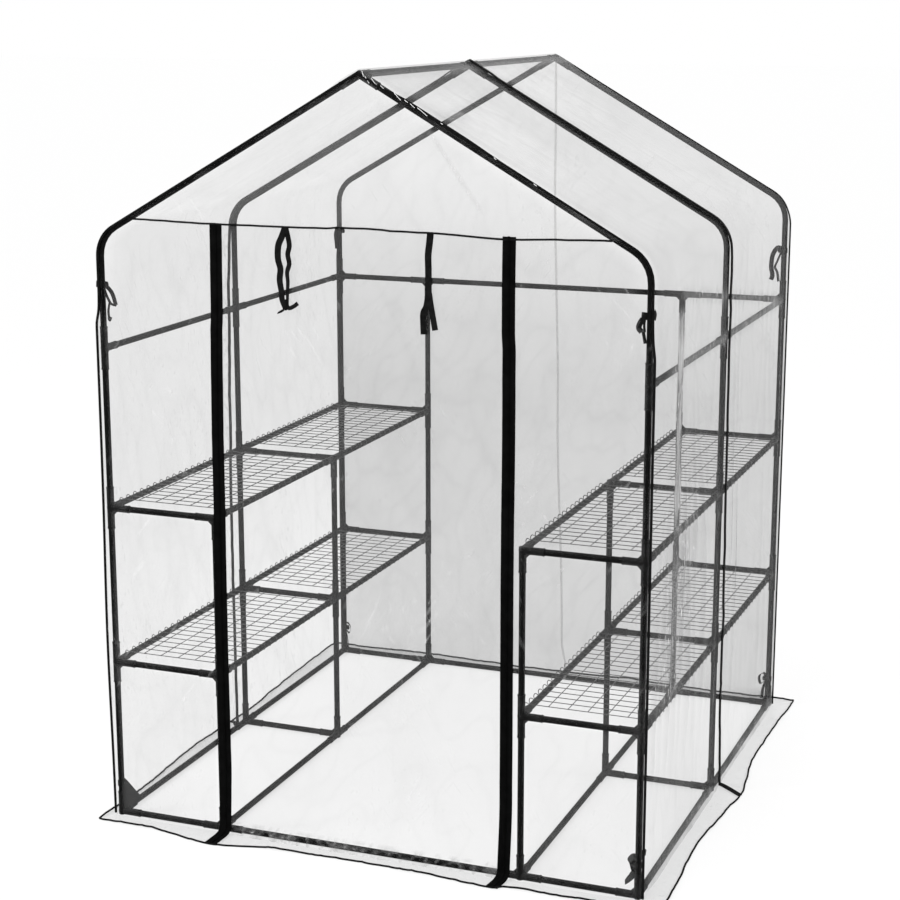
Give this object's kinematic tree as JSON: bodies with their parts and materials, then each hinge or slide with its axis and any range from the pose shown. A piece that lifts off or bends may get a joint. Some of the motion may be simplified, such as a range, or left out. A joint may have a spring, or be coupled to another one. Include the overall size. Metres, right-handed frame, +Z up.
{
  "type": "walk-in greenhouse with a steel tube frame and a clear film cover",
  "caption": "Walk-in garden greenhouse: steel tube frame in moulded connectors, wire shelves on both sides, clear film cover with a zipped door, black piping and a ground skirt.",
  "frame": {"origin": "On the ground, under the middle of the house", "axes": "+X to the right seen from the front, +Y to the back, +Z up. The door faces -Y."},
  "size_m": [1.5606, 1.5806, 1.9561],
  "materials": {
    "steel_tube": "semi-gloss powder coat on steel tube",
    "moulded_plastic": "satin moulded plastic",
    "shelf_wire": "coated welded wire",
    "clear_film": "clear soft film with fine creases",
    "black_piping": "black soft piping",
    "zip_tape": "woven black zip tape",
    "ribbon": "woven black ribbon"
  },
  "bodies": {
    "root": {"left_outer_posts": "steel_tube", "right_outer_posts": "steel_tube", "left_inner_posts": "steel_tube", "right_inner_posts": "steel_tube", "left_lower_shelf_frame": "steel_tube", "right_lower_shelf_frame": "steel_tube", "left_upper_shelf_frame": "steel_tube", "right_upper_shelf_frame": "steel_tube", "front_arch": "steel_tube", "middle_arch": "steel_tube", "rear_arch": "steel_tube", "ridge_tubes": "steel_tube", "upper_rails": "steel_tube", "floor_side_tubes": "steel_tube", "floor_front_bar": "steel_tube", "floor_rear_bar": "steel_tube", "base_connectors": "moulded_plastic", "lower_shelf_connectors": "moulded_plastic", "upper_shelf_connectors": "moulded_plastic", "rail_connectors": "moulded_plastic", "ridge_connectors": "moulded_plastic", "left_lower_shelf_mesh": "shelf_wire", "right_lower_shelf_mesh": "shelf_wire", "left_upper_shelf_mesh": "shelf_wire", "right_upper_shelf_mesh": "shelf_wire", "left_front_bay_film": "clear_film", "left_rear_bay_film": "clear_film", "right_front_bay_film": "clear_film", "right_rear_bay_film": "clear_film", "front_gable_film": "clear_film", "front_left_film": "clear_film", "front_right_film": "clear_film", "door_film": "clear_film", "rear_left_film": "clear_film", "rear_right_film": "clear_film", "front_skirt": "clear_film", "rear_skirt": "clear_film", "left_skirt": "clear_film", "right_skirt": "clear_film", "skirt_hem": "black_piping", "front_piping": "black_piping", "middle_piping": "black_piping", "rear_piping": "black_piping", "door_top_piping": "black_piping", "door_zips": "zip_tape", "upper_ties": "ribbon", "lower_ties": "ribbon", "door_straps": "ribbon"}
  },
  "joints": []
}
